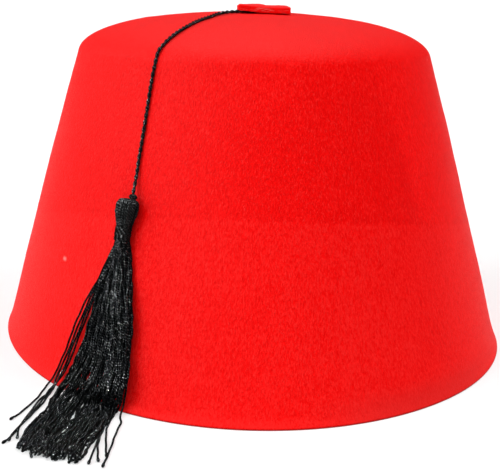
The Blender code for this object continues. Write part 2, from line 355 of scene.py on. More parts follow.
FELT_DARK = (0.80, 0.0006, 0.0005)
FELT_MID = (0.90, 0.0012, 0.0010)
FELT_LIGHT = (0.97, 0.0115, 0.0100)
FELT_FIBRE = (0.98, 0.0240, 0.0215)


LINT = [
    # where,                       radius, how pale
    ((-0.0704, -0.0372, 0.0370), 0.00095, 0.42),
    ((-0.0708, -0.0364, 0.0371), 0.00095, 0.42),
    ((0.0502, -0.0345, 0.0996), 0.00045, 0.60),
]


def felt_material(name, streaks_and_painted_shade=True):
    n = Nodes(name)
    here = n.coords()
    clouds = n.noise(here, 42.0, 3.0, 0.55)
    mottle = n.noise(here, 900.0, 4.0, 0.72)
    fuzz = n.noise(here, 2600.0, 3.0, 0.7)
    tall = n.coords((1.0, 1.0, 0.09))
    streak = n.noise(tall, 2500.0, 2.0, 0.6, 0.3)
    # how light the felt is, around one half
    tone = n.math("MULTIPLY_ADD", n.math("SUBTRACT", mottle, 0.5), 0.7, 0.52)
    tone = n.math("MULTIPLY_ADD", n.math("SUBTRACT", clouds, 0.5), 0.6, tone)
    tone = n.math("MULTIPLY_ADD", n.math("SUBTRACT", fuzz, 0.5), 0.8, tone)
    shade = None
    # the wall's streaks and lint, and its painted light and shade
    if streaks_and_painted_shade:
        tone = n.math("MULTIPLY_ADD", n.math("SUBTRACT", streak, 0.5), 2.1, tone)
        broad = n.noise(tall, 1250.0, 2.0, 0.5, 0.3)
        tone = n.math("MULTIPLY_ADD", n.math("SUBTRACT", broad, 0.5), 1.1, tone)
        z = n.axis(here, "Z")
        # painted shade: the wall below a faint, slightly tilted line was pressed over a wider block, and the tone is
        # painted a shade lighter below the line and a shade darker above it
        slant = n.math("MULTIPLY_ADD", n.axis(here, "Y"), -0.214, 0.0395)
        edge = n.math("MULTIPLY_ADD", n.axis(here, "X"), -0.065, slant)
        edge = n.math("MULTIPLY_ADD", n.math("SUBTRACT", n.noise(here, 60.0, 2.0), 0.5), 0.0012, edge)
        above = n.math("SUBTRACT", z, edge)
        step = n.span(above, -0.0009, 0.0008, 0.19, -0.17, True)
        tone = n.math("ADD", tone, step)
        # painted shade: a thin darker line just above the tilted line, where it creases
        crease = n.math("MULTIPLY", n.span(above, 0.0001, 0.0008, 0.0, 1.0, True),
                        n.span(above, 0.0010, 0.0026, 1.0, 0.0, True))
        tone = n.math("MULTIPLY_ADD", crease, -0.05, tone)
        # painted shade: the wall at the front right, up to a soft crease, is painted a shade darker, where it sits a
        # little flatter and so lies more in shade
        turn = n.math("ARCTAN2", n.axis(here, "Y"), n.axis(here, "X"))
        lean = n.math("MULTIPLY_ADD", n.math("SUBTRACT", z, 0.0589), 3.2, turn)
        lean = n.math("MULTIPLY_ADD", n.math("SUBTRACT", n.noise(here, 130.0, 3.0), 0.5), 0.13, lean)
        front = n.span(turn, math.radians(-106), math.radians(-80), 0.0, 1.0, True)
        upper = n.math("MULTIPLY", n.span(lean, math.radians(-62.6), math.radians(-58.0), 1.0, 0.0, True),
                       n.span(z, 0.088, 0.101, 1.0, 0.35, True))
        upper = n.math("MULTIPLY_ADD", n.math("MULTIPLY", front, upper), -0.072, 0.988)
        lower = n.span(turn, math.radians(-64), math.radians(-44), 1.0, 0.0, True)
        lower = n.math("MULTIPLY_ADD", n.math("MULTIPLY", front, lower), -0.050, 0.968)
        # painted light: towards the right edge and round the back the wall is painted a shade lighter
        far = n.math("MULTIPLY", n.span(turn, math.radians(-64), math.radians(-44), 0.0, 1.0, True),
                     n.span(turn, math.radians(50), math.radians(140), 1.0, 0.0, True))
        lower = n.math("MULTIPLY_ADD", far, 0.030, lower)
        upper = n.math("MULTIPLY_ADD", far, 0.020, upper)
        # shade is painted shade: the upper value above the tilted line, the lower one below it
        over = n.span(above, -0.0009, 0.0008, 0.0, 1.0, True)
        shade = n.math("MULTIPLY_ADD", n.math("SUBTRACT", upper, lower), over, lower)
        # painted light and shadow: the strip above the cut edge is painted lighter, a painted highlight, and the cut
        # edge itself darker, a painted contact shadow
        strip = n.span(z, 0.0005, 0.0010, 0.0, 1.0, True)
        strip_off = n.span(z, 0.0016, 0.0034, 1.0, 0.0, True)
        tone = n.math("MULTIPLY_ADD", n.math("MULTIPLY", strip, strip_off), 0.34, tone)
        shade = n.math("MULTIPLY", shade, n.span(z, 0.00012, 0.00080, 0.36, 1.0, True))
    dark = n.mix(n.span(tone, 0.0, 0.5), FELT_DARK, FELT_MID)
    color = n.mix(n.span(tone, 0.5, 1.1), dark, FELT_LIGHT)
    # single paler fibres lie in the nap, mostly up and down the wall
    fibre = n.noise(n.coords((1.0, 1.0, 0.10 if streaks_and_painted_shade else 1.0)), 2900.0, 1.0, 0.5, 0.4)
    color = n.mix(n.span(fibre, 0.56, 0.76, 0.0, 0.65, True), color, FELT_FIBRE)
    if streaks_and_painted_shade:
        # painted shade: just above the cut edge at the front right the felt is painted a darker, duller red
        rim_shade = n.math("MULTIPLY", n.span(turn, math.radians(-98), math.radians(-76), 0.0, 1.0, True),
                        n.span(turn, math.radians(-56), math.radians(-36), 1.0, 0.0, True))
        rim_shade = n.math("MULTIPLY", rim_shade, n.span(z, 0.0022, 0.0098, 0.56, 0.0, True))
        color = n.mix(rim_shade, color, (0.74, 0.020, 0.018))
        grey = n.new("ShaderNodeCombineColor")
        for k in ("Red", "Green", "Blue"):
            n.link(shade, grey.inputs[k])
        both = n.new("ShaderNodeMix", data_type="RGBA", blend_type="MULTIPLY")
        both.inputs["Factor"].default_value = 1.0
        ins = [s for s in both.inputs if s.type == "RGBA"]
        n.link(color, ins[0])
        n.link(grey.outputs[0], ins[1])
        color = [s for s in both.outputs if s.type == "RGBA"][0]
        # pale specks of lint
        for at, size, amount in LINT:
            far = n.new("ShaderNodeVectorMath", operation="DISTANCE")
            n.link(n.coords(), far.inputs[0])
            far.inputs[1].default_value = at
            ragged = n.math("MULTIPLY_ADD", n.math("SUBTRACT", fuzz, 0.5), size * 0.7, far.outputs["Value"])
            spot = n.span(ragged, size * 0.05, size * 1.1, amount, 0.0, True)
            color = n.mix(spot, color, (0.98, 0.40, 0.36))
    n.link(color, n.shader.inputs["Base Color"])
    n.link(n.span(mottle, 0.3, 0.7, 0.48, 0.58), n.shader.inputs["Roughness"])
    n.shader.inputs["Specular IOR Level"].default_value = 0.035
    n.shader.inputs["Sheen Weight"].default_value = 0.03
    n.shader.inputs["Sheen Roughness"].default_value = 0.42
    n.shader.inputs["Sheen Tint"].default_value = (1.0, 0.55, 0.52, 1.0)
    low = n.bump(mottle, 0.45, 0.00035)
    mid = n.bump(streak, 0.80, 0.00032, low)
    n.link(n.bump(fuzz, 0.55, 0.00012, mid), n.shader.inputs["Normal"])
    return n.mat


def thread_material(name, color, rough, gloss_and_glint=0.095, bare=0.0, metal=0.5):
    """Black satin thread: a weak, even mirror with no bright edge, so that lamps glint in it; the ply crests are also
    painted lighter, a painted glint.
    """
    n = Nodes(name)
    here = n.coords()
    own, run, ac, as_ = (n.new("ShaderNodeAttribute", attribute_name=k).outputs["Fac"]
                         for k in ("tone", "run", "around_c", "around_s"))
    fine = n.noise(here, 5200.0, 2.0, 0.6)
    wide = n.noise(here, 420.0, 2.0, 0.5)
    # two plies laid round each other: one at their crests, zero in the groove between them
    lay = n.math("MULTIPLY_ADD", run, -2 * math.pi, n.math("ARCTAN2", as_, ac))
    crest = n.math("ABSOLUTE", n.math("COSINE", lay))
    tone = n.math("MULTIPLY_ADD", n.math("SUBTRACT", fine, 0.5), 0.8, own)
    # painted shade and highlight: the thread is painted darker in the groove between its plies and lighter on their
    # crests
    tone = n.math("MULTIPLY_ADD", n.math("SUBTRACT", crest, 0.62), 0.9, tone)
    # the dye is a shade bluer in places and a shade greener in others
    bluer = tuple(c * k for c, k in zip(color, (0.98, 0.98, 1.16)))
    greener = tuple(c * k for c, k in zip(color, (0.92, 1.08, 1.0)))
    dye = n.mix(n.span(n.noise(here, 240.0, 2.0, 0.5), 0.35, 0.65), bluer, greener)
    lighter = tuple(c * 2.0 for c in color)
    darker = tuple(c * 0.42 for c in color)
    mixed = n.mix(n.span(tone, 0.0, 0.5), darker, dye)
    mixed = n.mix(n.span(tone, 0.5, 1.2), mixed, lighter)
    # where a ply turns up out of the twist it is glossier, in some stretches more than in others, and it is also
    # painted lighter there, a painted glint
    patchy = n.span(n.noise(here, 900.0, 2.0, 0.6), 0.48, 0.66, bare, 1.0, True)
    gloss_and_glint_mask = n.math("MULTIPLY", n.span(crest, 0.66, 0.93, 0.0, 1.0, True), patchy)
    mixed = n.mix(gloss_and_glint_mask, mixed, (gloss_and_glint * 0.97, gloss_and_glint, gloss_and_glint * 1.01))
    n.link(mixed, n.shader.inputs["Base Color"])
    rougher = n.math("MULTIPLY_ADD", n.math("SUBTRACT", wide, 0.5), 0.20, rough)
    n.link(n.math("MULTIPLY_ADD", n.math("SUBTRACT", fine, 0.5), 0.14, rougher, clamp=True), n.shader.inputs["Roughness"])
    n.link(n.math("MULTIPLY_ADD", gloss_and_glint_mask, 0.25, metal), n.shader.inputs["Metallic"])
    n.shader.inputs["Specular IOR Level"].default_value = 0.0
    n.shader.inputs["Specular Tint"].default_value = (0.10, 0.10, 0.10, 1.0)
    plies = n.bump(crest, 1.0, 0.00017)
    n.link(n.bump(fine, 0.20, 0.00006, plies), n.shader.inputs["Normal"])
    return n.mat


def hair_material(name):
    """Single felt fibres: painted paler than the felt, a painted highlight, as they stand out of the cloth and catch
    the light.
    """
    n = Nodes(name)
    here = n.coords()
    attr = n.new("ShaderNodeAttribute", attribute_name="tone")
    tone = n.math("MULTIPLY_ADD", n.math("SUBTRACT", n.noise(here, 1500.0, 2.0), 0.5), 0.8, attr.outputs["Fac"])
    n.link(n.mix(n.span(tone, 0.0, 1.0), (0.72, 0.010, 0.010), (0.95, 0.20, 0.17)), n.shader.inputs["Base Color"])
    n.link(n.span(tone, 0.0, 1.0, 0.50, 0.38), n.shader.inputs["Roughness"])
    n.shader.inputs["Specular IOR Level"].default_value = 0.2
    n.link(n.bump(n.noise(here, 4000.0, 2.0), 0.3, 0.00004), n.shader.inputs["Normal"])
    return n.mat


felt = felt_material("felt_red")
felt_patch = felt_material("felt_red_patch", streaks_and_painted_shade=False)
felt_hair = hair_material("felt_red_fibre")
black_cord = thread_material("cord_black", (0.0120, 0.0105, 0.0110), 0.24, gloss_and_glint=0.080)
black_thread = thread_material("thread_black", (0.0046, 0.0050, 0.0052), 0.18, gloss_and_glint=0.106)
black_head = thread_material("head_black", (0.0105, 0.0109, 0.0114), 0.32, gloss_and_glint=0.052, bare=0.15)
black_binding = thread_material("binding_black", (0.0062, 0.0064, 0.0064), 0.27, gloss_and_glint=0.050, bare=0.30)

# --------------------------------------------------------------- crown, felt

ROUND_SIDES = 288
EDGE_ROUND = 0.0004


def outer_rows():
    """(radius, height) of the outer face, and its outward normal, rim to middle."""
    a = np.linspace(0, np.pi / 2, 5)[:-1]
    r0 = float(wall_r(EDGE_ROUND))
    rows = [np.array([r0 - EDGE_ROUND + EDGE_ROUND * math.sin(t), EDGE_ROUND - EDGE_ROUND * math.cos(t)]) for t in a]
    z = np.concatenate([np.arange(EDGE_ROUND, 0.006, 0.00045), np.arange(0.006, CORNER_LOW[1], 0.00105)])
    rows += [np.array([float(wall_r(v)), v]) for v in z]
    rows += list(corner_point(np.linspace(0.0, 1.0, 30))[0])
    r = CORNER_HIGH[0] * (1 - np.arange(1, 30) / 30.0)
    rows += [np.array([v, float(dome_z(v))]) for v in r]
    return np.array(rows)


def make_crown():
    rows = outer_rows()
    inner_z = np.concatenate([[EDGE_ROUND], np.arange(0.002, 0.0985, 0.0024)])
    tilt = math.hypot(BASE_R - TOP_R, CORNER_H) / CORNER_H
    inner = [np.array([float(wall_r(v)) - WALL * tilt, v]) for v in inner_z]
    p, run = corner_point(np.linspace(0.12, 1.0, 16))
    inner += [np.array([q[0] - d[1] * WALL, q[1] + d[0] * WALL]) for q, d in zip(p, run)]
    r = CORNER_HIGH[0] * (1 - np.arange(1, 14) / 14.0)
    inner += [np.array([v, float(dome_z(v)) - WALL]) for v in r]
    inner = np.array(inner)
    # rounded inner cut edge
    r0 = inner[0][0]
    arc = np.linspace(0, np.pi / 2, 4)[:-1]
    edge_in = np.array([[r0 + EDGE_ROUND - EDGE_ROUND * math.sin(t), EDGE_ROUND - EDGE_ROUND * math.cos(t)] for t in arc])
    inner = np.vstack([edge_in, inner])
    n = ROUND_SIDES
    ang = 2 * np.pi * np.arange(n) / n
    out = place(rows[:, None, 0], rows[:, None, 1], ang[None, :])
    inn = place(inner[:, None, 0], inner[:, None, 1], ang[None, :])
    for grid, amount in ((out, 1.0), (inn, 0.6)):
        flat = grid.reshape(-1, 3)
        along = np.gradient(grid, axis=0)
        round_ = np.roll(grid, -1, axis=1) - np.roll(grid, 1, axis=1)
        nor = unit(np.cross(round_, along)).reshape(-1, 3)
        away = flat - np.array([0, 0, 0.05])
        nor *= np.sign(np.sum(nor * away, -1, keepdims=True))
        move = (0.00016 * fbm(flat, 38.0, 2, 1.0) + 0.00005 * fbm(flat, 260.0, 2, 2.0)) * amount
        fade = np.clip(flat[:, 2] / 0.003, 0.0, 1.0)
        flat += nor * (move * fade)[:, None]
        grid[:] = flat.reshape(grid.shape)
    verts = [out.reshape(-1, 3), inn.reshape(-1, 3)]
    faces = []
    for start, count, flip in ((0, len(rows), False), (len(rows) * n, len(inner), True)):
        i = np.arange(count - 1)[:, None] * n + start
        j = np.arange(n)[None, :]
        k = (j + 1) % n
        q = np.stack([i + j, i + k, i + n + k, i + n + j], -1).reshape(-1, 4)
        faces.append(q[:, ::-1] if flip else q)
    total = (len(rows) + len(inner)) * n
    j = np.arange(n)
    k = (j + 1) % n
    first = len(rows) * n
    bottom = np.stack([k, j, first + j, first + k], -1)
    faces.append(bottom)
    tips = np.array([place(0.0, CORNER_H + DOME_RISE, 0.0), place(0.0, CORNER_H + DOME_RISE - WALL, 0.0)])
    verts.append(tips)
    last = (len(rows) - 1) * n
    tri_out = [[last + int(a), last + int(b), total] for a, b in zip(j, k)]
    last = first + (len(inner) - 1) * n
    tri_in = [[last + int(b), last + int(a), total + 1] for a, b in zip(j, k)]
    quads = np.vstack(faces)
    return mesh_object("crown_felt", np.vstack(verts), list(quads.tolist()) + tri_out + tri_in, felt)


# ------------------------------------------------------------------ the cord

CORD_LIFT = 0.00060      # centre of the cord above the felt
CORD_PLAN = [
    # x, y on the top, from under the patch outwards, and lift
    (-0.0024, -0.0080, 0.00000),
    (-0.0060, -0.0091, 0.00005),
    (-0.0096, -0.0102, 0.00012),
    (-0.0132, -0.0117, 0.00016),
    (-0.0170, -0.0146, 0.00010),
]
CORD_TOP = [
    # r,     azimuth
    (0.0280, 46.6),
    (0.0340, 45.4),
    (0.0400, 44.3),
]
CORD_EDGE = [
    # t,   azimuth
    (0.75, 43.4),
    (0.55, 43.3),
    (0.35, 43.4),
    (0.15, 43.5),
]
CORD_WALL = [
    # z,     azimuth, off
    (0.0940, 43.6, 0.0),
    (0.0850, 43.4, 0.0),
    (0.0770, 43.3, 0.0),
    (0.0705, 43.2, 0.0001),
    (0.0665, 42.9, 0.0004),
]
KNOT_D = 0.0026
KNOT_L = 0.0019
KNOT_Z = 0.0624
KNOT_AZ = 42.5


def cord_path():
    pts = [(x, y, float(top_height(x, y)) + CORD_LIFT + more) for x, y, more in CORD_PLAN]
    for r, az in CORD_TOP:
        a = float(az_angle(az))
        x, y = r * math.cos(a), r * math.sin(a)
        pts.append((x, y, float(top_height(x, y)) + CORD_LIFT))
    for t, az in CORD_EDGE:
        p, run = corner_point(t)
        pts.append(tuple(place(p[0] + run[1] * CORD_LIFT, p[1] - run[0] * CORD_LIFT, az_angle(az))))
    for z, az, off in CORD_WALL:
        p, nor, _, _ = wall_frame(z, az)
        pts.append(tuple(p + nor * (CORD_LIFT + off)))
    p, nor, down, side = wall_frame(KNOT_Z, KNOT_AZ)
    pts.append(tuple(p + nor * 0.0017 + down * 0.0003 - side * 0.0001))
    pts.append(tuple(p + nor * 0.0020 + down * 0.0019 + side * 0.0001))
    return smooth(pts, 0.00032)


def outward(path):
    """Rough outward direction of the crown at each point of a path."""
    away = path - np.array([0.0, 0.0, 0.045])
    away[:, 2] *= 0.8
    return unit(away)


def plied(path, plies, strand_r, offset, pitch, threads, sides=7, phase=0.0, hand=1.0):
    """Strands laid round a path as a twisted cord; they are added to threads."""
    ref = outward(path)
    t = unit(np.gradient(path, axis=0))
    side = unit(np.cross(t, ref))
    up = np.cross(side, t)
    s = np.concatenate([[0], np.cumsum(np.linalg.norm(np.diff(path, axis=0), axis=1))])
    for k in range(plies):
        a = phase + hand * 2 * np.pi * s / pitch + 2 * np.pi * k / plies
        line = path + offset * (np.cos(a)[:, None] * side + np.sin(a)[:, None] * up)
        threads.add(line, ref, strand_r, 0.0019, pitch=-hand * pitch * 0.45, lobes=4, depth=0.10, sides=sides,
                    tone=0.45 + 0.1 * k)


cord_line = cord_path()
cord_threads = Threads()
plied(cord_line, 2, 0.00035, 0.00028, 0.0042, cord_threads, sides=12, hand=1.0)
cord_piece = cord_threads.build("cord_twisted", black_cord)
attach(cord_piece, "root")
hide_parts("cord")

# knot at the cord's lower end: the cord tied once round itself
kp, kn, kd, ks = (np.asarray(v) for v in wall_frame(KNOT_Z, KNOT_AZ))
knot_centre = kp + kn * (KNOT_D / 2 + 0.0008) + kd * (KNOT_L * 0.78 + 0.0010) + ks * 0.0004
a = np.linspace(0, 2 * np.pi, 120, endpoint=False)
tre = np.stack([np.sin(a) + 2 * np.sin(2 * a), np.cos(a) - 2 * np.cos(2 * a), -np.sin(3 * a)], 1)
tre = tre / 3.0
loop = (knot_centre + 0.00102 * tre[:, :1] * ks - 0.00088 * tre[:, 1:2] * kd + 0.00050 * tre[:, 2:] * kn)
knot_threads = Threads()
plied(np.vstack([loop, loop[:2]]), 3, 0.00026, 0.00024, 0.0034, knot_threads, sides=7)
for shift in (-0.00030, 0.00034):
    tail = smooth([knot_centre - kd * 0.0010, knot_centre + ks * shift, knot_centre + kd * 0.0012 + ks * shift * 2.2,
                   knot_centre + kd * 0.0028 + ks * shift * 3.0 - kn * 0.0004], 0.0003)
    plied(tail, 2, 0.00026, 0.00022, 0.0032, knot_threads, sides=7)
knot_piece = knot_threads.build("knot_tied", black_cord)
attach(knot_piece, "root")
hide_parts("cord_knot")

# ---------------------------------------------------------------- crown goes in

crown = make_crown()
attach(crown, "root")
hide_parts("crown")

# ---------------------------------------------------------------- felt patch

PATCH_AT = (0.0013, -0.0046)
PATCH_W = 0.0176
PATCH_D = 0.0170
PATCH_TURN = -11.0
PATCH_T = 0.0021
PATCH_POWER = 22.0


def make_patch():
    cx, cy = PATCH_AT
    turn = math.radians(PATCH_TURN)
    c, s = math.cos(turn), math.sin(turn)
    m = 56
    lin = np.linspace(-1, 1, m)
    gx, gy = np.meshgrid(lin, lin, indexing="ij")
    # square grid pressed into a square with slightly rounded corners
    big = np.maximum(np.abs(gx), np.abs(gy))
    norm = (np.abs(gx) ** PATCH_POWER + np.abs(gy) ** PATCH_POWER) ** (1 / PATCH_POWER)
    k = np.where(norm > 0, big / np.maximum(norm, 1e-9), 1.0)
    lx, ly = gx * k * PATCH_W / 2, gy * k * PATCH_D / 2
    x = cx + lx * c - ly * s
    y = cy + lx * s + ly * c
    route = cord_line[np.hypot(cord_line[:, 0], cord_line[:, 1]) < 0.026][::3]
    d = np.sqrt(((x[..., None] - route[:, 0]) ** 2 + (y[..., None] - route[:, 1]) ** 2)).min(-1)
    lift = 0.00085 * np.exp(-(np.maximum(d - 0.0009, 0.0) / 0.0030) ** 2)
    # stiff felt, so the patch stays flatter than the top under it
    flat_z = float(top_height(cx, cy))
    base = 0.4 * top_height(x, y) + 0.6 * flat_z + 0.00005 + lift + 0.00018 * np.clip(gx, 0, 1)
    edge = np.clip((1 - big) * PATCH_W / 2 / 0.0004, 0.0, 1.0)
    roundness = 0.00022 * (1 - np.sqrt(np.clip(1 - (1 - edge) ** 2, 0, 1)))
    pts = np.stack([x, y, base], -1).reshape(-1, 3)
    wob = fbm(pts, 900.0, 2, 3.0).reshape(x.shape)
    slow = fbm(pts, 160.0, 2, 4.0).reshape(x.shape)
    over = base + PATCH_T + 0.00014 * slow + 0.00006 * wob - roundness
    under = base + roundness * 0.6
    # the cut edges are a little ragged
    nx, ny = np.where(big > 0.985, 1.0, 0.0) * gx, np.where(big > 0.985, 1.0, 0.0) * gy
    rag = 0.00013 * wob + 0.00010 * slow
    x2, y2 = x + rag * (nx * c - ny * s), y + rag * (nx * s + ny * c)
    top = np.stack([x2, y2, over], -1).reshape(-1, 3)
    bot = np.stack([x2, y2, under], -1).reshape(-1, 3)
    idx = np.arange(m * m).reshape(m, m)
    q = np.stack([idx[:-1, :-1], idx[1:, :-1], idx[1:, 1:], idx[:-1, 1:]], -1).reshape(-1, 4)
    verts = [top, bot]
    faces = [q, q[:, ::-1] + m * m]
    rim = np.concatenate([idx[:, 0], idx[-1, 1:], idx[-2::-1, -1], idx[0, -2:0:-1]])
    levels = 9
    rings = [rim]
    count = 2 * m * m
    for lv in range(1, levels):
        t = lv / levels
        p = top[rim] * (1 - t) + bot[rim] * t
        out = unit(np.stack([p[:, 0] - cx, p[:, 1] - cy, np.zeros(len(p))], 1))
        # the two pressed layers of the felt show as a faint groove along the cut
        bulge = (0.00005 * math.sin(math.pi * t) - 0.00010 * math.exp(-((t - 0.5) / 0.12) ** 2)
                 + 0.00012 * fbm(p, 2200.0, 2, 5.0))
        verts.append(p + out * bulge[:, None])
        rings.append(np.arange(len(rim)) + count)
        count += len(rim)
    rings.append(rim + m * m)
    for a_, b_ in zip(rings, rings[1:]):
        faces.append(np.stack([a_, b_, np.roll(b_, -1), np.roll(a_, -1)], -1))
    return mesh_object("patch_felt", np.vstack(verts), np.vstack(faces).tolist(), felt_patch)


patch = make_patch()
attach(patch, "root")
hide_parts("top_patch")

# fibres pulled out of the patch's cut edge, painted paler than the felt, a painted highlight
FRAYED = [
    # place along the front edge (-1 to 1), height, width, rise
    (-0.30, 0.00075, 0.0030, 0.0009),
    (-0.16, 0.00055, 0.0042, 0.0011),
    (0.02, 0.00060, 0.0034, 0.0007),
    (0.20, 0.00040, 0.0024, 0.0006),
]


def make_frayed():
    turn = math.radians(PATCH_TURN)
    c, s = math.cos(turn), math.sin(turn)
    hairs = Threads()
    for k in range(26):
        if k < len(FRAYED) * 2:
            at, high, wide, rise = FRAYED[k // 2]
            at += 0.03 * (k % 2)
            high += 0.00016 * (k % 2)
        else:
            at, high = rng.uniform(-0.95, 0.95), rng.uniform(0.0003, 0.0018)
            wide, rise = rng.uniform(0.0006, 0.0018), rng.uniform(-0.0004, 0.0006)
        t_ = np.linspace(0, 1, 14)
        lx = at * PATCH_W / 2 + (t_ - 0.5) * wide
        ly = -PATCH_D / 2 - 0.00010 - 0.00034 * np.sin(np.pi * t_)
        x, y = PATCH_AT[0] + lx * c - ly * s, PATCH_AT[1] + lx * s + ly * c
        z = top_height(x, y) + high + rise * np.sin(np.pi * np.clip(t_ * 0.8, 0, 1)) + 0.0003
        hairs.add(np.stack([x, y, z], 1), (0.0, 0.0, 1.0), 0.00005 if k < 8 else 0.00003, 0.002, sides=6,
                  tone=rng.uniform(0.5, 1.0) if k < 8 else rng.uniform(0.2, 0.6))
    return hairs.build("patch_frayed_edge", felt_hair)


frayed = make_frayed()
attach(frayed, "root")

# ------------------------------------------------------------- tassel's head

HEAD_Z = 0.0600
HEAD_AZ = 42.7
HEAD_ROWS = np.array([
    # down,   half_width, half_depth
    (0.0000, 0.0016, 0.0013),
    (0.0003, 0.0025, 0.0020),
    (0.0010, 0.0032, 0.0027),
    (0.0021, 0.0035, 0.0029),
    (0.0034, 0.0035, 0.0030),
    (0.0048, 0.0033, 0.0029),
    (0.0062, 0.0030, 0.0026),
    (0.0076, 0.0025, 0.0022),
    (0.0090, 0.0022, 0.0019),
    (0.0116, 0.0021, 0.0018),
])
BINDING_Z = 0.0524
BINDING_AZ = 43.1
THREAD_R = 0.00028

hp, hn, hd, hs = (np.asarray(v) for v in wall_frame(HEAD_Z, HEAD_AZ))
bp, bn, bd, bs = (np.asarray(v) for v in wall_frame(BINDING_Z, BINDING_AZ))
head_top = hp + hn * 0.00305
neck_top = bp + bn * 0.00245
neck_end = neck_top + bd * 0.0050


def head_axis(along):
    """Point on the axis of head and neck, a distance below the head's top."""
    along = np.asarray(along, float)[..., None]
    reach = float(np.linalg.norm(neck_top - head_top))
    t = along / reach
    low = neck_top + (neck_end - neck_top) * (along - reach) / 0.0050
    return np.where(along <= reach, head_top + (neck_top - head_top) * t, low)


def head_surface(along, angle, inset=0.0):
    w = np.interp(along, HEAD_ROWS[:, 0], HEAD_ROWS[:, 1]) - inset
    d = np.interp(along, HEAD_ROWS[:, 0], HEAD_ROWS[:, 2]) - inset
    return head_axis(along) + (w * np.cos(angle))[..., None] * hs + (d * np.sin(angle))[..., None] * hn


def crimp(path, size, wave, fade=0.012):
    """Small kinks of a twisted thread that was once folded and packed."""
    s_ = np.concatenate([[0], np.cumsum(np.linalg.norm(np.diff(path, axis=0), axis=1))])
    t_ = unit(np.gradient(path, axis=0))
    ref_ = unit(np.cross(t_, np.array([0.31, 0.52, 0.79])))
    two = np.cross(t_, ref_)
    for k in range(2):
        w_ = wave * rng.uniform(0.6, 1.6)
        amp = size * rng.uniform(0.3, 1.0)
        fade_ = np.clip(s_ / fade, 0, 1)
        path = path + (amp * fade_ * np.sin(2 * np.pi * s_ / w_ + rng.uniform(0, 6.3)))[:, None] * (ref_ if k else two)
    return path


HEAD_FOLD = 0.0020       # height of the fold where a thread turns over the top
HEAD_SHOULDER = 0.0019   # how far the fold drops at the head's two sides
PARTED_AT = (0.0015, 0.0024)     # where the threads part a little, beside the cord


def fold_path(u, sway, inset):
    """One thread of the head: up the front, folded over the top and down the back."""
    a_top = 0.0008 + (HEAD_SHOULDER - 0.0008) * (1 - (1 - min(abs(u), 0.999) ** 2.6) ** (1 / 2.6))
    front = np.array([0.0116, 0.0098, 0.0084, 0.0070, 0.0056, 0.0042])
    turn = np.linspace(0, np.pi, 11)
    sn, cs = np.abs(np.sin(turn)) ** 0.8, np.sign(np.cos(turn)) * np.abs(np.cos(turn)) ** 0.8
    low = a_top + HEAD_FOLD
    arc = low + (0.0 - HEAD_FOLD) * sn
    alongs = np.concatenate([front, arc, front[::-1][:-1]])
    deep = np.concatenate([np.ones(6), cs, -np.ones(5)])
    full = np.maximum(alongs, 0.0021)
    w = np.interp(full, HEAD_ROWS[:, 0], HEAD_ROWS[:, 1]) - inset
    d = np.interp(full, HEAD_ROWS[:, 0], HEAD_ROWS[:, 2]) - inset
    w = w * (1 - 0.13 * np.clip(1 - alongs / 0.0024, 0, 1))
    lean = sway * np.sin(np.clip(alongs / 0.0116, 0, 1) * np.pi)
    x = w * np.clip(u + lean, -0.99, 0.99)
    px, pa = PARTED_AT
    shove = 0.00026 * np.exp(-((x - px) / 0.0006) ** 2 - ((alongs - pa) / 0.0009) ** 2) * (deep > 0)
    x = x + np.sign(x - px) * shove
    y = deep * d * np.sqrt(np.clip(1 - (x / (w + 1e-6)) ** 2 * 0.96, 0.02, 1))
    return head_axis(alongs) + x[:, None] * hs + y[:, None] * hn


head_threads = Threads()
angles = np.radians(np.linspace(-84, 84, 19))
layers = [(math.sin(a_) , 0.035, THREAD_R * 0.85) for a_ in angles]
layers += [(math.sin(a_), 0.05, THREAD_R * 2.3) for a_ in np.radians(np.linspace(-76, 76, 12))]
layers += [(u_, 0.20, THREAD_R * 0.15) for u_ in rng.uniform(-0.85, 0.85, 8)]
for u_, sway, inset in layers:
    path = smooth(fold_path(u_ + rng.normal(0, 0.012), rng.normal(0, sway), inset), 0.00034)
    path = crimp(path, 0.00013, 0.0034, fade=0.001)
    ref = unit(path - head_axis(np.full(len(path), 0.0050))) + 0.05 * hn
    head_threads.add(path, ref, THREAD_R * rng.uniform(0.98, 1.14), rng.uniform(0.0014, 0.0018),
                     phase=rng.uniform(0, 1), tone=rng.uniform(0.3, 1.0))
# a dark core that closes the inside
core = []
for along in np.linspace(0.0010, 0.0112, 16):
    ang = np.linspace(0, 2 * np.pi, 20, endpoint=False)
    core.append(head_surface(np.full(20, along), ang, 0.00095))
core = np.array(core)
n_core = head_threads.count
head_threads.verts.append(core.reshape(-1, 3))
i_, j_ = np.arange(15)[:, None] * 20, np.arange(20)[None, :]
k_ = (j_ + 1) % 20
head_threads.faces.append(np.stack([i_ + j_, i_ + k_, i_ + 20 + k_, i_ + 20 + j_], -1).reshape(-1, 4) + n_core)
head_threads.note(tone=np.zeros(320), run=np.zeros(320), around_c=np.ones(320), around_s=np.zeros(320))
head_threads.count += 320
head_piece = head_threads.build("tassel_head_threads", black_head)
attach(head_piece, "root")
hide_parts("tassel_head")

# ------------------------------------------------------------- neck's winding

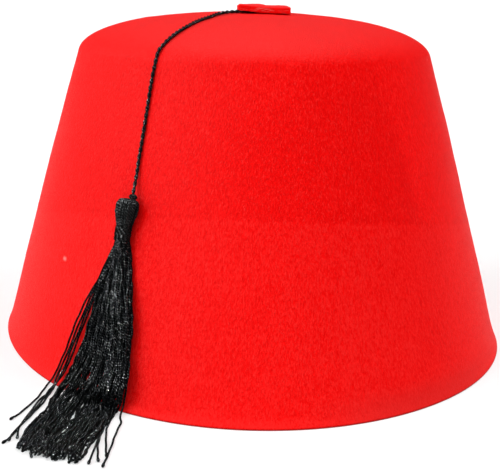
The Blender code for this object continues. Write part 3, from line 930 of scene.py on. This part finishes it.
WIND_TURNS = 8.4
turns = np.linspace(0, WIND_TURNS, int(WIND_TURNS * 60))
along = 0.0003 + turns / WIND_TURNS * 0.0050
ang = 2 * np.pi * turns + 2.4
wide = 0.00230 + 0.00012 * np.sin(np.pi * turns / WIND_TURNS) - 0.00012 * turns / WIND_TURNS
deep = 0.00196 + 0.00012 * np.sin(np.pi * turns / WIND_TURNS)
uneven = 1 + 0.02 * np.sin(turns * 2.6 + 1.0)
coil = (neck_top + along[:, None] * bd + (wide * uneven * np.cos(ang))[:, None] * bs
        + (deep * uneven * np.sin(ang))[:, None] * bn)
wind = Threads()
axis_pts = neck_top + along[:, None] * bd
ref = unit(coil - axis_pts)
coil = even(coil, 0.00026)
ref = unit(coil - (neck_top + ((coil - neck_top) @ bd)[:, None] * bd))
t = unit(np.gradient(coil, axis=0))
side = unit(np.cross(t, ref))
s = np.concatenate([[0], np.cumsum(np.linalg.norm(np.diff(coil, axis=0), axis=1))])
for k in range(2):
    a = -2 * np.pi * s / 0.0026 + np.pi * k
    line = coil + np.cos(a)[:, None] * 0.00017 * side + np.sin(a)[:, None] * 0.00013 * ref
    wind.add(line, ref, 0.00022, 0.0026, sides=8, tone=0.6 + 0.15 * k)
wind_piece = wind.build("neck_winding", black_binding)
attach(wind_piece, "root")
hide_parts("tassel_binding")

# ------------------------------------------------------------ loose threads

# The bundle on the wall: height, azimuth of its left and right edge, thickness,
# and how far it stands off, as the springy threads bridge the corner at the rim.
WALL_ROWS = [
    (0.0476, 44.7, 41.6, 0.0042, 0.0),
    (0.0455, 44.8, 41.3, 0.0043, 0.0),
    (0.0435, 45.1, 40.8, 0.0043, 0.0),
    (0.0400, 46.0, 40.1, 0.0042, 0.0003),
    (0.0350, 47.2, 38.9, 0.0041, 0.0013),
    (0.0293, 47.6, 37.8, 0.0040, 0.0020),
    (0.0229, 47.7, 36.8, 0.0036, 0.0022),
    (0.0168, 48.2, 36.7, 0.0034, 0.0025),
    (0.0110, 49.0, 36.1, 0.0032, 0.0030),
    (0.0055, 49.8, 36.1, 0.0031, 0.0040),
]
# The bundle on the surface: left and right edge, thickness.
FLOOR_ROWS = [
    (-0.0765, -0.0598, -0.0590, -0.0756, 0.0026),
    (-0.0785, -0.0671, -0.0617, -0.0816, 0.0023),
    (-0.0811, -0.0737, -0.0648, -0.0875, 0.0020),
    (-0.0844, -0.0798, -0.0680, -0.0936, 0.0019),
    (-0.0868, -0.0868, -0.0702, -0.0997, 0.0019),
    (-0.0884, -0.0918, -0.0717, -0.1037, 0.0019),
    (-0.0900, -0.0965, -0.0732, -0.1076, 0.0017),
]
BOW = 0.0026             # the rows on the surface bow outwards
ACROSS = 25
SKIRT_COUNT = 92
SECTIONS = 90

m_u = np.linspace(0, 1, ACROSS)
base_rows, normal_rows, thick_rows = [], [], []
for z, left, right, thick, off in WALL_ROWS:
    p, nor, _, _ = wall_frame(np.full(ACROSS, z), left + (right - left) * m_u)
    base_rows.append(p + nor * off)
    normal_rows.append(nor)
    thick_rows.append(thick)
for lx, ly, rx, ry, thick in FLOOR_ROWS:
    p = np.array([lx, ly, 0.0]) * (1 - m_u)[:, None] + np.array([rx, ry, 0.0]) * m_u[:, None]
    out = unit(p * np.array([1, 1, 0]))
    p = p + out * (BOW * 4 * m_u * (1 - m_u))[:, None]
    base_rows.append(p)
    normal_rows.append(np.tile([0.0, 0.0, 1.0], (ACROSS, 1)))
    thick_rows.append(thick)
base_rows, normal_rows = np.array(base_rows), np.array(normal_rows)
thick_rows = np.array(thick_rows)
row_t = np.concatenate([[0], np.cumsum(np.linalg.norm(np.diff(base_rows.mean(1), axis=0), axis=1))])


def through(t_rows, v_rows, t):
    """Smooth values through rows, at parameters t."""
    shape = (-1,) + (1,) * (v_rows.ndim - 1)
    h = np.diff(t_rows).reshape(shape)
    slope = np.diff(v_rows, axis=0) / h
    m = np.empty_like(v_rows)
    m[0], m[-1] = slope[0], slope[-1]
    w = (h[:-1] / (h[:-1] + h[1:]))
    m[1:-1] = slope[:-1] * (1 - w) + slope[1:] * w
    k = np.clip(np.searchsorted(t_rows, t, side="right") - 1, 0, len(t_rows) - 2)
    hh = h[k]
    x = ((t - t_rows[k]) / np.diff(t_rows)[k]).reshape((-1,) + (1,) * (v_rows.ndim - 1))
    return ((2 * x ** 3 - 3 * x ** 2 + 1) * v_rows[k] + (x ** 3 - 2 * x ** 2 + x) * hh * m[k]
            + (3 * x ** 2 - 2 * x ** 3) * v_rows[k + 1] + (x ** 3 - x ** 2) * hh * m[k + 1])


sec_t = np.linspace(0, row_t[-1], SECTIONS)
sec_base = through(row_t, base_rows, sec_t)
sec_base[..., 2] = np.maximum(sec_base[..., 2], 0.0)
sec_norm = unit(through(row_t, normal_rows, sec_t))
sec_thick = np.interp(sec_t, row_t, thick_rows)
sec_run = np.concatenate([np.zeros((SECTIONS, 1)),
                          np.cumsum(np.linalg.norm(np.diff(sec_base, axis=1), axis=2), axis=1)], 1)
sec_wide = sec_run[:, -1]
end_t = row_t[-2]        # where most threads are cut

# start: threads packed in the oval of the neck
golden = np.pi * (3 - math.sqrt(5))
idx = np.arange(SKIRT_COUNT) + 0.5
rr = np.sqrt(idx / SKIRT_COUNT)
top_a = sec_wide[0] / 2 + rr * np.cos(golden * idx) * (sec_wide[0] / 2 - THREAD_R)
top_b = sec_thick[0] / 2 + rr * np.sin(golden * idx) * (sec_thick[0] / 2 - THREAD_R) + 0.0002
order = np.argsort(np.argsort(top_a + rng.normal(0, 0.0007, SKIRT_COUNT)))
end_u = (order + 0.5) / SKIRT_COUNT
end_u = np.clip(end_u + rng.normal(0, 0.035, SKIRT_COUNT), 0.01, 0.99)
mix_t = np.clip(sec_t / 0.030, 0, 1)
mix_t = mix_t * mix_t * (3 - 2 * mix_t)
u_top = np.clip((top_a - THREAD_R) / (sec_wide[0] - 2 * THREAD_R), 0, 1)
goal_u = u_top[:, None] * (1 - mix_t) + end_u[:, None] * mix_t
# towards their ends the threads gather in a few locks
LOCKS = np.array([0.03, 0.14, 0.22, 0.34, 0.42, 0.55, 0.63, 0.74, 0.85, 0.96])
lock_of = LOCKS[np.abs(end_u[:, None] - LOCKS[None]).argmin(1)]
gather = np.clip((sec_t - (end_t - 0.020)) / 0.018, 0, 1)
gather = 0.62 * gather * gather * (3 - 2 * gather)
goal_u = goal_u * (1 - gather) + lock_of[:, None] * gather
wander = np.zeros((SKIRT_COUNT, SECTIONS))
for wave, size in ((0.030, 0.00080), (0.013, 0.00044), (0.0075, 0.00020)):
    ph = rng.uniform(0, 2 * np.pi, (SKIRT_COUNT, 1))
    sz = rng.normal(0, size, (SKIRT_COUNT, 1))
    wl = wave * rng.uniform(0.7, 1.4, (SKIRT_COUNT, 1))
    wander += sz * np.sin(2 * np.pi * sec_t / wl + ph) * np.clip(sec_t / 0.02, 0, 1)
goal_a = np.clip(goal_u * sec_wide + wander, THREAD_R, sec_wide - THREAD_R)
pos_a = goal_a.copy()
level = rng.uniform(0, 1, (SKIRT_COUNT, 1))


def bundle_form(u):
    """How thick the bundle is across its width: thin at the left edge, fuller at the right."""
    low = np.where(u < 0.5, 0.30, 0.86)
    return low + (1 - low) * np.sqrt(np.clip(1 - (2 * u - 1) ** 2, 0, 1))


crown_shape = bundle_form(pos_a / sec_wide)
pos_b = top_b[:, None] * (1 - mix_t) + (THREAD_R + level * sec_thick * crown_shape * 0.75) * mix_t
gap = 2 * THREAD_R * 0.96
for step in range(70):
    da = pos_a[:, None] - pos_a[None]
    db = pos_b[:, None] - pos_b[None]
    dist = np.sqrt(da * da + db * db) + 1e-9
    push = np.clip(gap - dist, 0, None) / dist * 0.42
    push[np.arange(SKIRT_COUNT), np.arange(SKIRT_COUNT)] = 0
    pos_a = pos_a + np.clip((push * da).sum(1), -0.0002, 0.0002)
    pos_b = pos_b + np.clip((push * db).sum(1), -0.0002, 0.0002) - 0.000022
    pos_a += 0.04 * (goal_a - pos_a)
    for v in (pos_a, pos_b):
        v[:, 1:-1] = 0.5 * v[:, 1:-1] + 0.25 * (v[:, :-2] + v[:, 2:])
    u_now = np.clip(pos_a / sec_wide, 0, 1)
    limit = sec_thick * bundle_form(u_now)
    pos_a = np.clip(pos_a, THREAD_R, sec_wide - THREAD_R)
    pos_b = np.clip(pos_b, THREAD_R, np.maximum(limit, 2.2 * THREAD_R))
    pos_a[:, 0], pos_b[:, 0] = top_a, top_b


# Places where the threads part and what lies behind them shows, on the surface and against the wall.
PARTINGS = [
    # where,               half length, half width
    ((-0.0742, -0.0620, 0.0), 0.0042, 0.00052),
    ((-0.0717, -0.0658, 0.0), 0.0038, 0.00048),
    ((-0.0691, -0.0707, 0.0), 0.0030, 0.00040),
    ((-0.0803, -0.0727, 0.0), 0.0042, 0.00050),
    ((-0.0818, -0.0779, 0.0), 0.0036, 0.00042),
    ((-0.0718, -0.0758, 0.0), 0.0038, 0.00036),
    ((-0.0745, -0.0840, 0.0), 0.0034, 0.00040),
    ((-0.0785, -0.0819, 0.0), 0.0030, 0.00036),
    ((-0.0689, -0.0878, 0.0), 0.0042, 0.00050),
    ((-0.0671, -0.0886, 0.0), 0.0044, 0.00050),
    ((-0.0695, -0.0950, 0.0), 0.0034, 0.00040),
    ((-0.0830, -0.0850, 0.0), 0.0034, 0.00040),
    ((-0.0661, -0.0670, 0.0091), 0.0022, 0.00062),
    ((-0.0632, -0.0740, 0.0034), 0.0016, 0.00040),
    ((-0.0600, -0.0770, 0.0042), 0.0016, 0.00040),
]


def part_at(values, rows):
    """Moves threads, given across the bundle at each section, apart at the partings."""
    values = values.copy()
    for at, long_, wide_ in PARTINGS:
        near = np.linalg.norm(sec_base - np.array(at), axis=-1)
        q0, k0 = np.unravel_index(near.argmin(), near.shape)
        at_a = sec_run[q0, k0]
        for q in range(len(rows)):
            grow = math.exp(-((sec_t[rows[q]] - sec_t[q0]) / long_) ** 2)
            if grow < 0.01:
                continue
            here = at_a / sec_wide[q0] * sec_wide[rows[q]]
            d = values[..., q] - here
            side_ = np.where(d >= 0, 1.0, -1.0)
            values[..., q] = here + side_ * np.sqrt(d * d + grow * (THREAD_R + wide_) ** 2)
    return values


pos_a = part_at(pos_a, np.arange(SECTIONS))


def on_skirt(a_val, b_val, sec):
    """Points for positions across and above the bundle's base at each section."""
    out = np.empty((len(a_val), 3))
    for q in range(len(a_val)):
        m = np.interp(a_val[q], sec_run[sec[q]], m_u) * (ACROSS - 1)
        k = min(int(m), ACROSS - 2)
        f = m - k
        p = sec_base[sec[q], k] * (1 - f) + sec_base[sec[q], k + 1] * f
        nn = sec_norm[sec[q], k] * (1 - f) + sec_norm[sec[q], k + 1] * f
        out[q] = p + nn * b_val[q]
    return out


def clear_of_hat(path, r):
    """Moves points out of the felt and up from the surface."""
    p = path.copy()
    rest = np.full(len(p), r * 1.16)
    rest[-6:] = r * 1.85
    p[:, 2] = np.maximum(p[:, 2], rest)
    ang = np.arctan2(p[:, 1], p[:, 0] - LEAN_X * p[:, 2])
    wallp = place(wall_r(p[:, 2]), p[:, 2], ang)
    have = np.hypot(p[:, 0] - LEAN_X * p[:, 2], p[:, 1])
    need = np.hypot(wallp[:, 0] - LEAN_X * p[:, 2], wallp[:, 1]) + r * 1.05
    k = np.where(have < need, need / have, 1.0)
    p[:, 0] = (p[:, 0] - LEAN_X * p[:, 2]) * k + LEAN_X * p[:, 2]
    p[:, 1] *= k
    return p


def skirt_ref(path):
    """A direction across the threads for the tubes' frames."""
    up_ = np.clip(1 - path[:, 2:] / 0.02, 0, 1)
    out_ = unit(path * np.array([1, 1, 0]))
    return unit(out_ * (1 - up_) + np.array([0, 0, 1.0]) * up_ + 0.02)


bundles = [Threads(), Threads(), Threads()]
secs = np.arange(SECTIONS)
for n_ in range(SKIRT_COUNT):
    own = int(np.abs(end_u[n_] - LOCKS).argmin())
    cut = end_t - 0.0001 + 0.0006 * math.sin(own * 2.4) + rng.normal(0, 0.0009)
    if rng.random() < 0.22:
        cut -= rng.uniform(0.001, 0.011)
    cut = min(cut, row_t[-1] - 0.0005)
    pts = on_skirt(pos_a[n_], pos_b[n_], secs)
    # runs up into the neck
    inside = neck_top + bd * 0.0022 + ((pos_a[n_, 0] - sec_wide[0] / 2) * 0.62) * -bs * -1.0 \
        + (pos_b[n_, 0] - sec_thick[0] / 2) * 0.62 * bn
    keep = sec_t <= cut
    line = np.vstack([pts[keep]])
    path = smooth(np.vstack([inside[None], line[1:]]), 0.00040)
    path = crimp(crimp(path, 0.00024, 0.0080), 0.00010, 0.0036)
    path = clear_of_hat(path, THREAD_R)
    bundles[n_ % 3].add(path, skirt_ref(path), THREAD_R * rng.uniform(0.94, 1.16), rng.uniform(0.0014, 0.0019),
                        phase=rng.uniform(0, 1), tone=rng.uniform(0.0, 1.0), knob=rng.uniform(0.1, 0.7))

# Threads that cross over the others on top of the bundle.
CROSSING = 24
for n_ in range(CROSSING):
    last = int(SECTIONS * rng.uniform(0.60, 0.93))
    u0 = rng.uniform(0.25, 0.75)
    u1 = float(np.clip(u0 + rng.choice([-1, 1]) * rng.uniform(0.12, 0.34), 0.06, 0.94))
    t_c = np.linspace(0, 1, last)
    blend = t_c * t_c * (3 - 2 * t_c)
    u_c = u0 * (1 - blend) + u1 * blend + 0.05 * np.sin(2 * np.pi * (t_c * rng.uniform(1.0, 2.2) + rng.random()))
    a_c = part_at((np.clip(u_c, 0.03, 0.97) * sec_wide[:last])[None], secs[:last])[0]
    b_c = np.empty(last)
    for q in range(last):
        by = np.abs(pos_a[:, q] - a_c[q]) < THREAD_R * 1.5
        b_c[q] = (pos_b[by, q].max() if by.any() else THREAD_R) + 1.7 * THREAD_R
    for _ in range(5):
        b_c[1:-1] = 0.5 * b_c[1:-1] + 0.25 * (b_c[:-2] + b_c[2:])
    b_c[-4:] -= np.linspace(0, 1.2 * THREAD_R, 4)
    pts = on_skirt(a_c, b_c, secs[:last])
    inside = neck_top + bd * 0.0026 + (u0 - 0.5) * 0.0030 * bs + 0.0012 * bn
    path = crimp(smooth(np.vstack([inside[None], pts[1:]]), 0.00040), 0.00018, 0.0080)
    path = clear_of_hat(path, THREAD_R)
    bundles[n_ % 3].add(path, skirt_ref(path), THREAD_R * 1.04, rng.uniform(0.0014, 0.0019),
                        phase=rng.uniform(0, 1), tone=rng.uniform(0.4, 1.0), knob=0.4)

# Single threads that lie apart from the bundle, given by where they pass:
# on the wall (height, azimuth), then on the surface (x, y).
LOOSE = [
    ([(0.0460, 45.2), (0.0398, 47.0), (0.0344, 48.5), (0.0282, 50.8), (0.0238, 52.0), (0.0198, 53.0),
      (0.0146, 53.9), (0.0112, 54.5), (0.0053, 55.9), (0.0020, 56.7)],
     [(-0.0779, -0.0509), (-0.0817, -0.0611), (-0.0861, -0.0691), (-0.0897, -0.0745)]),
    ([(0.0461, 44.9), (0.0405, 46.5), (0.0346, 48.0), (0.0286, 49.9), (0.0225, 51.3), (0.0179, 52.3),
      (0.0120, 53.5), (0.0065, 54.7), (0.0020, 55.7)],
     [(-0.0764, -0.0546), (-0.0811, -0.0629), (-0.0864, -0.0774), (-0.0899, -0.0860), (-0.0920, -0.0893)]),
    ([(0.0458, 44.8), (0.0400, 46.4), (0.0345, 47.7), (0.0290, 49.2), (0.0225, 50.6), (0.0179, 51.6), (0.0120, 52.8),
      (0.0050, 54.2)],
     [(-0.0775, -0.0580), (-0.0806, -0.0660), (-0.0846, -0.0742), (-0.0872, -0.0800), (-0.0881, -0.0871)]),
    ([(0.0440, 45.0), (0.0360, 47.0), (0.0290, 48.6), (0.0225, 50.0), (0.0179, 50.9), (0.0120, 52.0), (0.0050, 53.5)],
     [(-0.0770, -0.0540), (-0.0799, -0.0622), (-0.0842, -0.0724), (-0.0887, -0.0827), (-0.0904, -0.0880)]),
    ([(0.0440, 41.0), (0.0350, 39.2), (0.0260, 38.3), (0.0170, 37.5), (0.0090, 37.2), (0.0030, 37.2)],
     [(-0.0584, -0.0786), (-0.0588, -0.0829), (-0.0609, -0.0890), (-0.0635, -0.0982), (-0.0667, -0.1084)]),
    ([(0.0430, 41.2), (0.0330, 39.3), (0.0240, 38.2), (0.0150, 37.6), (0.0060, 38.2)],
     [(-0.0602, -0.0774), (-0.0630, -0.0851), (-0.0644, -0.0953), (-0.0651, -0.1030)]),
    ([(0.0430, 41.5), (0.0320, 39.8), (0.0220, 38.9), (0.0120, 38.6), (0.0050, 39.2)],
     [(-0.0612, -0.0780), (-0.0634, -0.0835), (-0.0664, -0.0942), (-0.0675, -0.1051)]),
    ([(0.0430, 41.8), (0.0320, 40.1), (0.0220, 39.3), (0.0120, 39.4), (0.0050, 40.0)],
     [(-0.0625, -0.0790), (-0.0657, -0.0902), (-0.0702, -0.1059)]),
]
for wall_pts, floor_pts in LOOSE:
    pts = [neck_top + bd * 0.0030]
    for z, az in wall_pts:
        p, nor, _, _ = wall_frame(z, az)
        pts.append(p + nor * (0.0006 + 0.0010 * z / 0.05))
    pts += [np.array([x, y, 0.0004]) for x, y in floor_pts]
    path = crimp(smooth(pts, 0.00040), 0.00010, 0.0090)
    path = clear_of_hat(path, THREAD_R)
    bundles[0].add(path, skirt_ref(path), THREAD_R * 1.12, 0.0018, phase=rng.uniform(0, 1), tone=0.5, knob=0.5)

skirt_pieces = [b.build("tassel_threads_%s" % k, black_thread) for b, k in zip(bundles, "abc")]
for piece in skirt_pieces:
    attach(piece, "root")
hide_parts("tassel_skirt")

# ------------------------------------------------------------ floor and light

WORLD_LIGHT = 0.13
LAMPS = [
    # name,       azimuth, height, share of white, width in degrees
    ("key_left", 80.0, 31.0, 0.585, 50.0),
    ("key_wide", 118.0, 30.0, 0.08, 36.0),
    ("overhead", 20.0, 82.0, 0.51, 50.0),
    ("right", 294.0, 38.0, 0.380, 40.0),
]
# Small lamps whose light is only seen as glints, on thread and on the felt's nap.
GLINTS = [
    ("glint_left", 80.0, 36.0, 1.30, 3.0),
    ("glint_edge", 118.0, 30.0, 0.60, 8.0),
    ("glint_top", 190.0, 66.0, 1.25, 4.0),
]
# Small lamps that only the threads catch.
THREAD_GLINTS = [
    ("glint_thread_left", 62.0, 46.0, 1.60, 2.0),
    ("glint_thread_high", 30.0, 76.0, 1.50, 2.0),
    ("glint_thread_top", 190.0, 66.0, 1.50, 3.0),
    ("glint_thread_back", 160.0, 30.0, 1.50, 3.0),
    ("glint_thread_low", 184.0, 77.0, 2.40, 3.0),
]
thread_pieces = bpy.data.collections.new("thread_pieces")
for piece in [cord_piece, knot_piece, head_piece, wind_piece] + skirt_pieces:
    thread_pieces.objects.link(piece)
loose_pieces = bpy.data.collections.new("loose_pieces")
for piece in skirt_pieces:
    loose_pieces.objects.link(piece)

floor_mat = Nodes("floor_pale")
speck = floor_mat.noise(floor_mat.coords(), 9.0, 2.0, 0.5)
floor_mat.link(floor_mat.mix(floor_mat.span(speck, 0.3, 0.7), (0.60, 0.60, 0.605), (0.62, 0.62, 0.62)),
               floor_mat.shader.inputs["Base Color"])
floor_mat.shader.inputs["Emission Color"].default_value = (0.97, 1.0, 1.0, 1.0)
floor_mat.shader.inputs["Emission Strength"].default_value = 0.38
floor_mat.shader.inputs["Roughness"].default_value = 0.95
floor_mat.shader.inputs["Specular IOR Level"].default_value = 0.0
floor = mesh_object("floor", np.array([(-9, -9, 0), (9, -9, 0), (9, 9, 0), (-9, 9, 0)], float),
                    [[0, 1, 2, 3]], floor_mat.mat, flat=True)

scene = bpy.context.scene
scene.view_settings.view_transform = "Standard"
world = bpy.data.worlds.new("studio")
world.use_nodes = True
world.node_tree.nodes["Background"].inputs["Color"].default_value = (1.0, 1.0, 1.0, 1.0)
# what lies beyond the floor is white, and gives only a little light
seen = world.node_tree.nodes.new("ShaderNodeLightPath")
level = world.node_tree.nodes.new("ShaderNodeMath")
level.operation = "MULTIPLY_ADD"
world.node_tree.links.new(seen.outputs["Is Camera Ray"], level.inputs[0])
level.inputs[1].default_value = 1.0 - WORLD_LIGHT
level.inputs[2].default_value = WORLD_LIGHT
world.node_tree.links.new(level.outputs[0], world.node_tree.nodes["Background"].inputs["Strength"])
scene.world = world

for name, az, height, share, wide in LAMPS + GLINTS + THREAD_GLINTS:
    data = bpy.data.lights.new(name, "SUN")
    data.energy = math.pi * share
    data.angle = math.radians(wide)
    obj = bpy.data.objects.new(name, data)
    a, h = math.radians(az), math.radians(height)
    towards = Vector((-math.sin(a) * math.cos(h), -math.cos(a) * math.cos(h), math.sin(h)))
    obj.rotation_euler = (-towards).to_track_quat("-Z", "Y").to_euler()
    obj.location = towards * 1.5
    obj.visible_diffuse = not name.startswith("glint")
    obj.visible_glossy = name != "right"
    if name.startswith("glint_thread"):
        obj.light_linking.receiver_collection = loose_pieces if name.endswith("low") else thread_pieces
    scene.collection.objects.link(obj)
